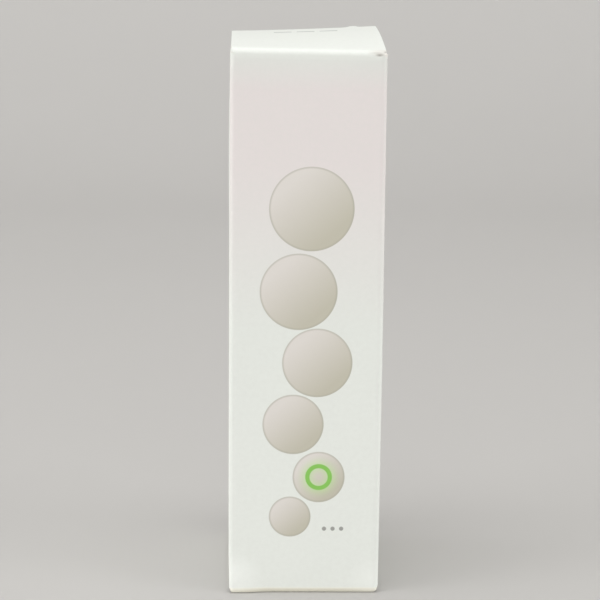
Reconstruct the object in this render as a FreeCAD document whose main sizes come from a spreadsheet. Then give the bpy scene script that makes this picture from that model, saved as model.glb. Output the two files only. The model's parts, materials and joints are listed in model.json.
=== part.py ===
import FreeCAD, Part
import math
import os

import Sketcher

# Folding carton with a tuck closure at both ends, made from one die-cut sheet of white paperboard.
# It stands on its base, with the origin at the middle of its footprint, the front towards -Y and +Z up.
# Both lids hinge on creases of the front panel, and their tuck flaps slide in behind the back panel.

os.makedirs("parts", exist_ok=True)
doc = FreeCAD.newDocument("Carton")

# Driving sizes in millimetres, one row each: name, value, what it measures.
SIZES = [
    ("width", 35.0, "outside, from side panel to side panel"),
    ("depth", 45.0, "outside, from front panel to back panel"),
    ("front_height", 126.2, "base to the top of the front fold"),
    ("board", 0.45, "thickness of the paperboard"),
    ("corner_radius", 0.9, "outside of the four upright folds"),
    ("lid_fold_radius", 1.0, "outside of the fold where the top lid hinges"),
    ("base_fold_radius", 0.8, "outside of the fold where the bottom lid hinges"),
    ("tuck_fold_radius", 0.9, "outside of the fold from a lid to its tuck flap"),
    ("tuck_drop", 12.0, "reach of a tuck flap past the crease that its lid hinges on"),
    ("tuck_gap", 0.3, "clearance of the tuck fold to the back panel"),
    ("swing_gap", 0.3, "clearance of the tuck tip to the back panel as the lid swings"),
    ("tuck_side_gap", 0.5, "clearance of a tuck flap to the glue flap beside it"),
    ("tuck_corner", 6.0, "radius of the tuck flap's two free corners"),
    ("lid_side_relief", 0.15, "how far a lid's side edge stops short of the side panel"),
    ("lid_corner_cut", 1.3, "leg of the bevel across each rear corner of a lid"),
    ("crown_left", 0.35, "rise of the top lid's arch along its left edge"),
    ("crown_right", 0.6, "rise of the top lid's arch along its right edge"),
    ("rise_right", 1.4, "how far the top lid has sprung up at its rear right corner"),
    ("flap_gap", 0.3, "clearance between a lid and the dust flaps under it"),
    ("flap_fold_radius", 0.9, "outside of the folds of the dust flaps"),
    ("flap_length", 14.5, "reach of a dust flap from the outside of its side panel"),
    ("flap_front_relief", 1.2, "dust flap's fold to the inside of the front panel"),
    ("flap_rear_relief", 2.2, "dust flap's fold to the inside of the back panel"),
    ("flap_taper", 2.0, "how much a dust flap narrows at each side towards its tip"),
    ("flap_corner", 2.5, "radius of a dust flap's two free corners"),
    ("corner_relief", 0.3, "cut between an upright fold and the side panel's folds"),
    ("glue_width", 9.0, "glue flap, from its fold to its free edge"),
    ("glue_land", 0.6, "strip beside the glue flap's fold that keeps the panel's full height"),
    ("glue_taper", 5.0, "how much shorter the glue flap's free edge is at each end"),
    ("glue_end_gap", 3.0, "glue flap's root to the side panel's folds at each end"),
    ("notch_width", 12.0, "thumb notch in the back panel's top edge"),
    ("notch_depth", 3.0, "thumb notch, from the back panel's top edge down"),
    ("crush_across", 0.9, "bevel of the base's crushed front left corner, along the base"),
    ("crush_rise", 1.3, "the same bevel, up the front panel's left fold"),
    ("blunt_radius", 0.7, "round of the base's worn front right corner"),
    ("overcut", 2.0, "how far a cutting outline runs past the board"),
]

# Places worked out from the sizes, one row each: name, formula.
PLACES = [
    ("half_width", "Sizes.width / 2"),
    ("half_depth", "Sizes.depth / 2"),
    ("side_inside", "half_width - Sizes.board"),
    ("end_inside", "half_depth - Sizes.board"),
    ("side_arc", "half_width - Sizes.corner_radius"),
    ("end_arc", "half_depth - Sizes.corner_radius"),
    ("corner_inside", "Sizes.corner_radius - Sizes.board"),
    ("glue_outside", "half_width - Sizes.board"),
    ("glue_inside", "half_width - 2 * Sizes.board"),
    ("glue_arc", "half_width - Sizes.board - Sizes.corner_radius"),
    ("glue_edge", "end_arc - Sizes.glue_width"),
    ("lid_crease", "Sizes.front_height - Sizes.lid_fold_radius"),
    ("base_crease", "Sizes.base_fold_radius"),
    ("flap_top", "Sizes.front_height - Sizes.board - Sizes.flap_gap"),
    ("flap_bottom", "Sizes.board + Sizes.flap_gap"),
    ("side_top", "flap_top - Sizes.flap_fold_radius"),
    ("side_bottom", "flap_bottom + Sizes.flap_fold_radius"),
    ("middle_height", "(flap_top + flap_bottom) / 2"),
    ("side_cut", "end_arc - Sizes.corner_relief"),
    ("past_front", "half_depth + Sizes.overcut"),
    ("past_top", "Sizes.front_height + Sizes.overcut"),
    ("past_base", "Sizes.overcut"),
    ("glue_root_top", "side_top - Sizes.glue_end_gap"),
    ("glue_root_base", "side_bottom + Sizes.glue_end_gap"),
    ("glue_tip_top", "glue_root_top - Sizes.glue_taper"),
    ("glue_tip_base", "glue_root_base + Sizes.glue_taper"),
    ("glue_slope_start", "end_arc - Sizes.glue_land"),
    ("past_glue", "glue_edge - Sizes.overcut"),
    ("notch_radius", "(Sizes.notch_width ^ 2 / 4 + Sizes.notch_depth ^ 2) / (2 * Sizes.notch_depth)"),
    ("notch_centre", "Sizes.front_height - Sizes.notch_depth + notch_radius"),
    ("flap_arc", "half_width - Sizes.flap_fold_radius"),
    ("flap_fold_inside", "Sizes.flap_fold_radius - Sizes.board"),
    ("flap_tip", "half_width - Sizes.flap_length"),
    ("flap_under", "flap_top - Sizes.board"),
    ("flap_front", "end_inside - Sizes.flap_front_relief"),
    ("flap_rear", "end_inside - Sizes.flap_rear_relief"),
    ("flap_tip_front", "flap_front - Sizes.flap_taper"),
    ("flap_tip_rear", "flap_rear - Sizes.flap_taper"),
    ("past_side", "half_width + Sizes.overcut"),
    ("past_rear", "half_depth + Sizes.overcut"),
    ("lid_half", "half_width - Sizes.lid_side_relief"),
    ("lid_rear", "end_inside - Sizes.tuck_gap"),
    ("bevel_across", "lid_half - Sizes.lid_corner_cut"),
    ("bevel_back", "lid_rear - Sizes.lid_corner_cut"),
    ("crown_radius_left", "Sizes.depth ^ 2 / (8 * Sizes.crown_left)"),
    ("crown_radius_right", "Sizes.depth ^ 2 / (8 * Sizes.crown_right)"),
    ("lid_width", "2 * lid_half"),
    ("tuck_half", "glue_inside - Sizes.tuck_side_gap"),
    ("tuck_corner_across", "tuck_half - Sizes.tuck_corner"),
    ("tuck_fold_back", "lid_rear - Sizes.tuck_fold_radius"),
    ("tuck_fold_rise", "Sizes.rise_right - Sizes.tuck_fold_radius"),
    ("swing", "half_depth + end_inside - Sizes.swing_gap"),
    ("tuck_tip", "sqrt(swing ^ 2 - Sizes.tuck_drop ^ 2) - half_depth"),
    ("lid_fold_back", "half_depth - Sizes.lid_fold_radius"),
    ("lid_tip_drop", "Sizes.lid_fold_radius + Sizes.tuck_drop"),
    ("lid_corner_drop", "lid_tip_drop - Sizes.tuck_corner"),
    ("lid_past_tip", "lid_tip_drop + Sizes.overcut"),
    ("base_fold_back", "half_depth - Sizes.base_fold_radius"),
    ("base_tip_drop", "Sizes.base_fold_radius + Sizes.tuck_drop"),
    ("base_corner_drop", "base_tip_drop - Sizes.tuck_corner"),
    ("base_past_tip", "base_tip_drop + Sizes.overcut"),
    ("base_level", "0"),
    ("crush_end", "half_width - Sizes.crush_across"),
    ("blunt_end", "half_width - Sizes.blunt_radius"),
    ("corner_reach", "Sizes.corner_radius + Sizes.corner_relief"),
]


def fill_sheet(name, rows, formula):
    """A spreadsheet with one aliased cell per row. A formula may use the cells above it."""
    sheet = doc.addObject("Spreadsheet::Sheet", name)
    for number, (alias, value) in enumerate(rows, start=1):
        cell = f"B{number}"
        sheet.set(f"A{number}", alias)
        sheet.set(cell, f"={value}" if formula else str(value))
        sheet.setAlias(cell, alias)
    doc.recompute()
    return sheet


sizes = fill_sheet("Sizes", [(name, value) for name, value, meaning in SIZES], formula=False)
places = fill_sheet("Places", PLACES, formula=True)


def signed(alias):
    """The value of a place, and the expression for a constraint on it. A minus sign turns both round."""
    sign, name = (-1, alias[1:]) if alias.startswith("-") else (1, alias)
    sheet = places if places.getCellFromAlias(name) else sizes
    return sign * getattr(sheet, name), f"{'-' if sign < 0 else ''}{sheet.Name}.{name}"


def tie(sketch, constraint, expression):
    """Adds a constraint to a sketch and drives it from the sheets."""
    number = sketch.addConstraint(constraint)
    sketch.setExpression(f"Constraints[{number}]", expression)


def tie_point(sketch, edge, end, across, up):
    """Fixes one end of an edge at two named distances from the sketch's origin."""
    for kind, alias in (("DistanceX", across), ("DistanceY", up)):
        value, expression = signed(alias)
        tie(sketch, Sketcher.Constraint(kind, -1, 1, edge, end, value), expression)


def new_body(name):
    return doc.addObject("PartDesign::Body", name)


def origin_plane(body, role):
    return next(item for item in body.Origin.OriginFeatures if item.Role == role)


def new_sketch(body, name, plane, lift=None):
    """A sketch on one of the body's own origin planes, lifted off it by a named distance if one is given."""
    sketch = body.newObject("Sketcher::SketchObject", name)
    sketch.AttachmentSupport = [(origin_plane(body, plane), "")]
    sketch.MapMode = "FlatFace"
    if lift:
        sketch.setExpression("AttachmentOffset.Base.z", signed(lift)[1])
        doc.recompute()
    return sketch


def draw_outline(sketch, corners):
    """
    A closed outline through named points. Each corner is (across, up), joined to the next by a line, or
    (across, up, radius, centre across, centre up, turn), joined to the next by an arc about that centre,
    turn being 1 for an arc that runs counterclockwise and -1 for clockwise.
    """
    points = [FreeCAD.Vector(signed(corner[0])[0], signed(corner[1])[0], 0) for corner in corners]
    edges = []
    for number, corner in enumerate(corners):
        begin, finish = points[number], points[(number + 1) % len(points)]
        if len(corner) == 2:
            edges.append((sketch.addGeometry(Part.LineSegment(begin, finish), False), 1, 2))
            continue
        radius, expression = signed(corner[2])
        centre = FreeCAD.Vector(signed(corner[3])[0], signed(corner[4])[0], 0)
        first, last = (begin, finish) if corner[5] > 0 else (finish, begin)
        angles = [math.atan2(point.y - centre.y, point.x - centre.x) for point in (first, last)]
        circle = Part.Circle(centre, FreeCAD.Vector(0, 0, 1), radius)
        arc = sketch.addGeometry(Part.ArcOfCircle(circle, *angles), False)
        tie(sketch, Sketcher.Constraint("Radius", arc, radius), expression)
        edges.append((arc, 1, 2) if corner[5] > 0 else (arc, 2, 1))
    for number, (edge, begin, finish) in enumerate(edges):
        following, start, end = edges[(number + 1) % len(edges)]
        sketch.addConstraint(Sketcher.Constraint("Coincident", edge, finish, following, start))
        tie_point(sketch, edge, begin, corners[number][0], corners[number][1])


def feature(body, kind, name, profile, **settings):
    """A PartDesign feature made from a sketch. Its length is given by the name of a place."""
    made = body.newObject(f"PartDesign::{kind}", name)
    made.Profile = profile
    for key, value in settings.items():
        if key == "Length":
            made.setExpression(key, signed(value)[1])
        else:
            setattr(made, key, value)
    doc.recompute()
    return made


def mirrored(body, name, originals):
    """The same features again at the other side of the carton's middle plane."""
    made = body.newObject("PartDesign::Mirrored", name)
    made.Originals = originals
    made.MirrorPlane = (origin_plane(body, "YZ_Plane"), [""])
    body.Tip = made
    doc.recompute()
    return made


def turn_over(corners):
    """The same outline after half a turn about the sketch's origin: every place changes its sign."""
    def opposite(alias):
        return alias[1:] if alias.startswith("-") else f"-{alias}"

    turned = []
    for across, up, *arc in corners:
        if arc:
            radius, centre_across, centre_up, turn = arc
            arc = [radius, opposite(centre_across), opposite(centre_up), turn]
        turned.append((opposite(across), opposite(up), *arc))
    return turned


def wear_base_corners(body, turned):
    """The base's worn front corners: the left one is crushed to a bevel, the right one is blunt."""
    crushed = [
        ("-half_width", "crush_rise"),
        ("-past_side", "crush_rise"),
        ("-past_side", "-past_base"),
        ("-crush_end", "-past_base"),
        ("-crush_end", "base_level"),
    ]
    blunt = [
        ("blunt_end", "base_level", "blunt_radius", "blunt_end", "blunt_radius", 1),
        ("half_width", "blunt_radius"),
        ("past_side", "blunt_radius"),
        ("past_side", "-past_base"),
        ("blunt_end", "-past_base"),
    ]
    wear = new_sketch(body, "worn_corners", "XZ_Plane", lift="half_depth")
    for outline in (crushed, blunt):
        draw_outline(wear, turn_over(outline) if turned else outline)
    feature(body, "Pocket", "wear_corners", wear, Length="corner_reach")


def make_wall():
    """
    The four upright panels as one ring. The left rear corner is the glued seam: the back panel's glue flap
    turns in behind the left panel, which ends there in a raw edge.
    """
    body = new_body("wall")
    ring = new_sketch(body, "ring", "XY_Plane")
    draw_outline(ring, [
        ("-half_width", "end_arc"),
        ("-half_width", "-end_arc", "corner_radius", "-side_arc", "-end_arc", 1),
        ("-side_arc", "-half_depth"),
        ("side_arc", "-half_depth", "corner_radius", "side_arc", "-end_arc", 1),
        ("half_width", "-end_arc"),
        ("half_width", "end_arc", "corner_radius", "side_arc", "end_arc", 1),
        ("side_arc", "half_depth"),
        ("-glue_arc", "half_depth", "corner_radius", "-glue_arc", "end_arc", 1),
        ("-glue_outside", "end_arc"),
    ])
    draw_outline(ring, [
        ("-glue_inside", "end_arc"),
        ("-glue_inside", "glue_edge"),
        ("-side_inside", "glue_edge"),
        ("-side_inside", "-end_arc", "corner_inside", "-side_arc", "-end_arc", 1),
        ("-side_arc", "-end_inside"),
        ("side_arc", "-end_inside", "corner_inside", "side_arc", "-end_arc", 1),
        ("side_inside", "-end_arc"),
        ("side_inside", "end_arc", "corner_inside", "side_arc", "end_arc", 1),
        ("side_arc", "end_inside"),
        ("-glue_arc", "end_inside", "corner_inside", "-glue_arc", "end_arc", 1),
    ])
    feature(body, "Pad", "panels", ring, Length="front_height")
    wear_base_corners(body, turned=False)

    # From the side: the front panel stops at the creases, the side panels where their dust flaps fold in.
    ends = new_sketch(body, "panel_ends", "YZ_Plane")
    for crease, side, past in (("lid_crease", "side_top", "past_top"),
                               ("base_crease", "side_bottom", "-past_base")):
        draw_outline(ends, [
            ("-past_front", crease),
            ("-side_cut", crease),
            ("-side_cut", side),
            ("end_arc", side),
            ("end_arc", past),
            ("-past_front", past),
        ])
    feature(body, "Pocket", "trim_ends", ends, Type="ThroughAll", SideType="Symmetric")

    # The glue flap's ends slope back from its fold, so that they slip into the carton as it is glued.
    slopes = new_sketch(body, "glue_slopes", "YZ_Plane", lift="-glue_inside")
    for root, tip, past in (("glue_root_top", "glue_tip_top", "past_top"),
                            ("glue_root_base", "glue_tip_base", "-past_base")):
        draw_outline(slopes, [
            ("past_glue", tip),
            ("glue_edge", tip),
            ("glue_slope_start", root),
            ("glue_slope_start", past),
            ("past_glue", past),
        ])
    feature(body, "Pocket", "trim_glue_flap", slopes, Length="board")

    moon = new_sketch(body, "half_moon", "XZ_Plane")
    radius, expression = signed("notch_radius")
    centre = FreeCAD.Vector(0, signed("notch_centre")[0], 0)
    circle = moon.addGeometry(Part.Circle(centre, FreeCAD.Vector(0, 0, 1), radius), False)
    tie(moon, Sketcher.Constraint("Radius", circle, radius), expression)
    moon.addConstraint(Sketcher.Constraint("PointOnObject", circle, 3, -2))
    tie(moon, Sketcher.Constraint("DistanceY", -1, 1, circle, 3, centre.y), signed("notch_centre")[1])
    feature(body, "Pocket", "thumb_notch", moon, Type="ThroughAll")
    return body


def make_dust_flap():
    """The left panel's upper dust flap: a quarter round fold, then a flat flap that narrows to its tip."""
    body = new_body("dust_flap")
    strip = new_sketch(body, "fold", "XZ_Plane")
    draw_outline(strip, [
        ("-half_width", "side_top", "flap_fold_radius", "-flap_arc", "side_top", -1),
        ("-flap_arc", "flap_top"),
        ("-flap_tip", "flap_top"),
        ("-flap_tip", "flap_under"),
        ("-flap_arc", "flap_under", "flap_fold_inside", "-flap_arc", "side_top", 1),
        ("-side_inside", "side_top"),
    ])
    pad = feature(body, "Pad", "flap", strip, SideType="Two sides", Length="flap_front")
    pad.setExpression("Length2", signed("flap_rear")[1])
    doc.recompute()
    taper = new_sketch(body, "taper", "XY_Plane", lift="flap_top")
    for fold, tip in (("-flap_front", "-flap_tip_front"), ("flap_rear", "flap_tip_rear")):
        draw_outline(taper, [("-flap_arc", fold), ("-flap_tip", tip), ("-flap_tip", fold)])
    tapered = feature(body, "Pocket", "trim_taper", taper, Length="board")

    # The two upright edges at the flap's tip.
    tip_across = -places.flap_tip
    corners = [
        f"Edge{number}"
        for number, edge in enumerate(body.Shape.Edges, start=1)
        if all(abs(vertex.X - tip_across) < sizes.board / 10 for vertex in edge.Vertexes)
        and abs(edge.Vertexes[0].Y - edge.Vertexes[-1].Y) < sizes.board / 10
    ]
    rounding = body.newObject("PartDesign::Fillet", "round_tip")
    rounding.Base = (tapered, corners)
    rounding.setExpression("Radius", signed("flap_corner")[1])
    doc.recompute()
    return body


def make_shell():
    """The panels with all four dust flaps folded in, as the one sheet that they are."""
    wall = make_wall()
    flap = make_dust_flap()
    across, along = FreeCAD.Vector(1, 0, 0), FreeCAD.Vector(0, 0, 1)
    flaps = [flap]
    for name, source, normal in (("dust_flap_right", flap, across), ("dust_flap_base_left", flap, along)):
        flaps.append(mirror_object(name, source, normal))
    flaps.append(mirror_object("dust_flap_base_right", flaps[2], across))
    shell = doc.addObject("Part::MultiFuse", "carton_shell")
    shell.Shapes = [wall, *flaps]
    shell.Refine = True
    doc.recompute()
    return shell


def mirror_object(name, source, normal):
    """A mirror image of a flap across the carton's middle plane, or across its middle height."""
    image = doc.addObject("Part::Mirroring", name)
    image.Source = source
    image.Normal = normal
    image.setExpression("Base.z", signed("middle_height")[1])
    return image


def draw_strip(sketch, legs, board):
    """
    A folded strip of board, seen on its edge. The legs are its outer face in order: ("arc", centre, radius,
    first angle, last angle), turning clockwise, or ("line", begin, end). The inner face lies one board's
    thickness to their right. Returns the outer legs as (edge, begin, end).
    """
    outer, inner = [], []
    for leg in legs:
        if leg[0] == "arc":
            for side, shrink in ((outer, 0), (inner, board)):
                circle = Part.Circle(leg[1], FreeCAD.Vector(0, 0, 1), leg[2] - shrink)
                side.append((sketch.addGeometry(Part.ArcOfCircle(circle, leg[4], leg[3]), False), 2, 1))
            sketch.addConstraint(Sketcher.Constraint("Coincident", outer[-1][0], 3, inner[-1][0], 3))
            continue
        along = (leg[2] - leg[1]).normalize()
        inward = FreeCAD.Vector(along.y, -along.x, 0) * board
        outer.append((sketch.addGeometry(Part.LineSegment(leg[1], leg[2]), False), 1, 2))
        inner.append((sketch.addGeometry(Part.LineSegment(leg[1] + inward, leg[2] + inward), False), 1, 2))
        sketch.addConstraint(Sketcher.Constraint("Parallel", outer[-1][0], inner[-1][0]))
    for side in (outer, inner):
        for (edge, _, end), (following, begin, _) in zip(side, side[1:]):
            sketch.addConstraint(Sketcher.Constraint("Tangent", edge, end, following, begin))

    # The raw edges at both ends of the strip.
    caps = []
    for (edge, begin, end), (facing, start, finish), end_first in ((outer[0], inner[0], False),
                                                                   (outer[-1], inner[-1], True)):
        first, last = (end, finish) if end_first else (begin, start)
        points = sketch.getPoint(edge, first), sketch.getPoint(facing, last)
        cap = sketch.addGeometry(Part.LineSegment(*points), False)
        sketch.addConstraint(Sketcher.Constraint("Coincident", cap, 1, edge, first))
        sketch.addConstraint(Sketcher.Constraint("Coincident", cap, 2, facing, last))
        caps.append(cap)
    sketch.addConstraint(Sketcher.Constraint("Horizontal", caps[0]))
    sketch.addConstraint(Sketcher.Constraint("Perpendicular", caps[1], outer[-1][0]))
    tie(sketch, Sketcher.Constraint("Distance", caps[0], board), signed("board")[1])
    return outer


def tangent_angle(tip, centre, radius):
    """The direction from a circle's centre to where the line that runs down to a tip leaves the circle."""
    to_tip = tip - centre
    return math.atan2(to_tip.y, to_tip.x) + math.acos(radius / to_tip.Length)


def draw_lid_section(body, name, lid, lift, rear_height, crown_radius=None):
    """
    A lid seen from the side, in its own frame: the front fold from its crease, the closing panel, arched
    where it has a crown, the rear fold, and the tuck flap, which leans in so that its tip clears the back
    panel as the lid swings.
    """
    sketch = new_sketch(body, name, "YZ_Plane", lift)
    fold, tuck = signed(f"{lid}_fold_radius")[0], sizes.tuck_fold_radius
    hinge_side = FreeCAD.Vector(-signed(f"{lid}_fold_back")[0], -fold, 0)
    rear_side = FreeCAD.Vector(places.tuck_fold_back, signed(rear_height)[0], 0)
    tip = FreeCAD.Vector(places.tuck_tip, -signed(f"{lid}_tip_drop")[0], 0)
    flat = math.atan2(rear_side.y + tuck - hinge_side.y - fold, rear_side.x - hinge_side.x)
    lean = tangent_angle(tip, rear_side, tuck)
    leave, meet = math.pi / 2 + flat, math.pi / 2 + flat
    if crown_radius:
        crown = signed(crown_radius)[0]
        half_arc = math.asin((rear_side - hinge_side).Length / 2 / crown)
        leave, meet = leave + half_arc, meet - half_arc
        centre = hinge_side - FreeCAD.Vector(math.cos(leave), math.sin(leave), 0) * (crown - fold)
        panel = ("arc", centre, crown, leave, meet)
    else:
        up = FreeCAD.Vector(math.cos(leave), math.sin(leave), 0)
        panel = ("line", hinge_side + up * fold, rear_side + up * tuck)
    away = FreeCAD.Vector(math.cos(lean), math.sin(lean), 0) * tuck
    legs = draw_strip(sketch, [
        ("arc", hinge_side, fold, math.pi, leave),
        panel,
        ("arc", rear_side, tuck, meet, lean),
        ("line", rear_side + away, tip),
    ], sizes.board)
    sketch.addConstraint(Sketcher.Constraint("Horizontal", legs[0][0], 3, legs[0][0], legs[0][1]))
    tie_point(sketch, legs[0][0], 3, f"-{lid}_fold_back", f"-{lid}_fold_radius")
    tie(sketch, Sketcher.Constraint("Radius", legs[0][0], fold), signed(f"{lid}_fold_radius")[1])
    if crown_radius:
        tie(sketch, Sketcher.Constraint("Radius", legs[1][0], crown), signed(crown_radius)[1])
    tie_point(sketch, legs[2][0], 3, "tuck_fold_back", rear_height)
    tie(sketch, Sketcher.Constraint("Radius", legs[2][0], tuck), signed("tuck_fold_radius")[1])
    tie_point(sketch, legs[3][0], legs[3][2], "tuck_tip", f"-{lid}_tip_drop")
    doc.recompute()
    return sketch


def trim_lid(body, lid):
    """Cuts the tuck flap narrower than the lid, rounds its free corners and bevels the lid's rear corners."""
    sides = new_sketch(body, "tuck_sides", "XZ_Plane")
    draw_outline(sides, [
        ("tuck_half", "-tuck_fold_radius"),
        ("tuck_half", f"-{lid}_corner_drop", "tuck_corner", "tuck_corner_across", f"-{lid}_corner_drop", -1),
        ("tuck_corner_across", f"-{lid}_tip_drop"),
        ("tuck_corner_across", f"-{lid}_past_tip"),
        ("past_side", f"-{lid}_past_tip"),
        ("past_side", "-tuck_fold_radius"),
    ])
    shape_tuck = feature(body, "Pocket", "shape_tuck", sides, Type="ThroughAll")
    corner = new_sketch(body, "rear_corner", "XY_Plane")
    draw_outline(corner, [
        ("lid_half", "bevel_back"),
        ("bevel_across", "lid_rear"),
        ("bevel_across", "past_rear"),
        ("past_side", "past_rear"),
        ("past_side", "bevel_back"),
    ])
    bevel = feature(body, "Pocket", "bevel_corner", corner, Type="ThroughAll", SideType="Symmetric")
    mirrored(body, "other_side", [shape_tuck, bevel])


def make_top_lid():
    """The upper closure. It has sprung up at its rear right corner, so its right section stands higher."""
    body = new_body("top_lid")
    left = draw_lid_section(body, "left", "lid", "-lid_half", "-tuck_fold_radius", "crown_radius_left")
    right = draw_lid_section(body, "right", "lid", "lid_half", "tuck_fold_rise", "crown_radius_right")
    loft = body.newObject("PartDesign::AdditiveLoft", "warped_strip")
    loft.Profile = left
    loft.Sections = [right]
    loft.Ruled = True
    doc.recompute()
    trim_lid(body, "lid")
    body.setExpression("Placement.Base.z", signed("front_height")[1])
    doc.recompute()
    return body


def make_bottom_lid():
    """The lower closure, which lies flat under the carton. It is drawn upright, then turned upside down."""
    body = new_body("bottom_lid")
    section = draw_lid_section(body, "section", "base", None, "-tuck_fold_radius")
    feature(body, "Pad", "strip", section, SideType="Symmetric", Length="lid_width")
    trim_lid(body, "base")
    wear_base_corners(body, turned=True)
    body.Placement = FreeCAD.Placement(FreeCAD.Vector(), FreeCAD.Rotation(FreeCAD.Vector(0, 1, 0), 180))
    doc.recompute()
    return body


def check_everything(parts):
    """Stops the build if any object of the document has failed, or a part isn't one sound solid."""
    for item in doc.Objects:
        bad = [state for state in item.State if state in ("Invalid", "Error")]
        if bad:
            raise RuntimeError(f"{item.Label} is {bad[0]}")
    for part in parts:
        if part.Shape.isNull() or not part.Shape.isValid() or len(part.Shape.Solids) != 1:
            raise RuntimeError(f"{part.Label} isn't one valid solid")


parts = [make_shell(), make_top_lid(), make_bottom_lid()]
doc.recompute()
check_everything(parts)
for part in parts:
    part.Shape.exportStep(f"parts/{part.Label}.step")
    box = part.Shape.BoundBox
    print(part.Label, round(part.Shape.Volume, 1), [round(value, 2) for value in (
        box.XMin, box.YMin, box.ZMin, box.XMax, box.YMax, box.ZMax)])
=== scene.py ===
import json
import math

import bpy
import numpy as np
from mathutils import Matrix, Vector


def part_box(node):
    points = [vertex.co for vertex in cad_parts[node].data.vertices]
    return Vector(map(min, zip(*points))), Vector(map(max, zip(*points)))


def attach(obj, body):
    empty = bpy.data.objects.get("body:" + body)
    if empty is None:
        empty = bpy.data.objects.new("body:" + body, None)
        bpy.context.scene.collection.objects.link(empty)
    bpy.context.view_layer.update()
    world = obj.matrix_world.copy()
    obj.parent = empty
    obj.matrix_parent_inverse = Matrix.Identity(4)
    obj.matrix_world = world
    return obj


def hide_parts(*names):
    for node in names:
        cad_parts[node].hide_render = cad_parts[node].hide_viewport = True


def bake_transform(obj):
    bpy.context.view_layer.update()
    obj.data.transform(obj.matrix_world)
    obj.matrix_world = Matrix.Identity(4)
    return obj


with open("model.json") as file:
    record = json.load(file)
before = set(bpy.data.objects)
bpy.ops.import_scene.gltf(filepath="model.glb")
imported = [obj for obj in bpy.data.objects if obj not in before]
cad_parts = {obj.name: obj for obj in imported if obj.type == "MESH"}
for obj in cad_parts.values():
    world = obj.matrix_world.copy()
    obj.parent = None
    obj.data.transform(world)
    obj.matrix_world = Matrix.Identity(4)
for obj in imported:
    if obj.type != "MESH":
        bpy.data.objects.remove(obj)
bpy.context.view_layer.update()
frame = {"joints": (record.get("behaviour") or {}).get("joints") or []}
MM = 0.001

# The sleeve: front, right, back and left panel, and a glue flap that is stuck behind the left panel.
# It is one die-cut sheet of white folding boxboard, coated outside and bare inside, creased and folded
# round, with a dust flap at each end of both side panels that is folded in over the mouth.
_, shell_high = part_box("carton_shell")
HALF_WIDTH, HALF_DEPTH, HEIGHT = (high / MM for high in shell_high)
BOARD = 0.45
UPRIGHT_RADIUS = 1.25
LID_CREASE, BASE_CREASE = (joint["pos_m"][2] / MM for joint in frame["joints"])
DUST_RADIUS, DUST_GAP = 0.9, 0.3
SIDE_TOP = HEIGHT - BOARD - DUST_GAP - DUST_RADIUS
SIDE_BASE = BOARD + DUST_GAP + DUST_RADIUS
DUST_LENGTH = 13.6
DUST_FRONT, DUST_REAR = -20.85, 19.85
DUST_TAPER, DUST_CORNER = 2.0, 2.5
GLUE_WIDTH, GLUE_LAND, GLUE_TAPER, GLUE_GAP = 9.0, 0.6, 5.0, 3.0
NOTCH_HALF, NOTCH_DEPTH = 6.0, 3.0

# How far each panel bows out in the middle, in blank order. The left one bows most near its top: its bow
# is a share of that at the ends, with a peak at a share of the height, spread over another.
BOW_LEFT, BOW_FRONT, BOW_RIGHT, BOW_BACK = 0.42, 0.2, 0.12, 0.25
LEFT_END_SHARE, LEFT_PEAK, LEFT_SPREAD = 0.55, 0.83, 0.15

# Knocks, each a spot, its reach and the way it moved the board. Three pinched and lifted the right end of
# the lid's front fold. The others pressed in the front left edge near its top, pushed the base's left corner
# forward, and raised a ripple in the lid's rear fold.
KNOCKS = (
    ((17.0, -22.6, 125.9), 1.0, (0.1, -0.1, 0.12)),
    ((15.7, -22.6, 125.3), 0.6, (0.0, 0.18, -0.08)),
    ((17.6, -21.8, 125.0), 0.8, (0.08, -0.1, 0.0)),
    ((-17.5, -21.5, 124.8), 2.5, (0.13, 0.0, 0.0)),
    ((-17.5, -22.5, 0.0), 7.0, (0.14, -0.7, 0.0)),
    ((11.4, 21.3, 127.2), 1.2, (0.0, 0.05, 0.22)),
)

# The right side draws in at the base, from nothing at a height. Of the base's front corners the left one is
# crushed to a slope and the right one is worn round, each over a reach from the front. The lid's front fold
# is worn to a rounder shape than its crease gave it, and stands higher to the left, over a reach from it.
DRAWN_IN, DRAWN_HEIGHT = 0.2, 60.0
CRUSH_ACROSS, CRUSH_RISE, CRUSH_REACH = 0.9, 1.3, 6.5
BLUNT_RADIUS, BLUNT_REACH = 1.9, 6.0
WORN_RADIUS, FOLD_LIFT, FOLD_REACH = 1.5, 0.48, 8.0


def spread(low, high, count, crowd=0.75):
    """Places from low to high: even steps mixed with a half cosine wave, which crowds both ends."""
    even = np.linspace(0, 1, count + 1)
    return low + (high - low) * ((1 - crowd) * even + crowd * (1 - np.cos(np.pi * even)) / 2)


def joined(*stretches):
    """Stretches of places that follow each other, each shared end kept once."""
    return np.concatenate([stretches[0], *(stretch[1:] for stretch in stretches[1:])])


def folded(start, heading, legs, s):
    """
    A strip of board seen on its edge: where it is after a length s. Each leg is (length, turn). A leg adds
    its own displacement for the part of s that lies in it: a straight line, or a circle's chord, which is
    radius * (sin a, 1 - cos a) in the leg's own heading for a turned angle a.
    """
    across = np.full_like(s, start[0])
    up = np.full_like(s, start[1])
    begun = 0.0
    for length, turn in legs:
        part = np.clip(s - begun, 0, length)
        angle = part / length * turn
        ahead, aside = (part, 0 * part) if turn == 0 else (
            length / turn * np.sin(angle), length / turn * (1 - np.cos(angle)))
        across += ahead * math.cos(heading) - aside * math.sin(heading)
        up += ahead * math.sin(heading) + aside * math.cos(heading)
        heading += turn
        begun += length
    return across, up


def past_round(across, up, radius):
    """The share by which a place in a corner has to come in to lie on its circle: 1 - radius / distance."""
    far = np.where((across > 0) & (up > 0), np.hypot(across, up), radius)
    return np.clip(1 - radius / far, 0, None)


def fading(distance, reach):
    """1 up to half the reach, and from there a straight line down to 0 at the reach."""
    return np.clip(2 - 2 * distance / reach, 0, 1)


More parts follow.
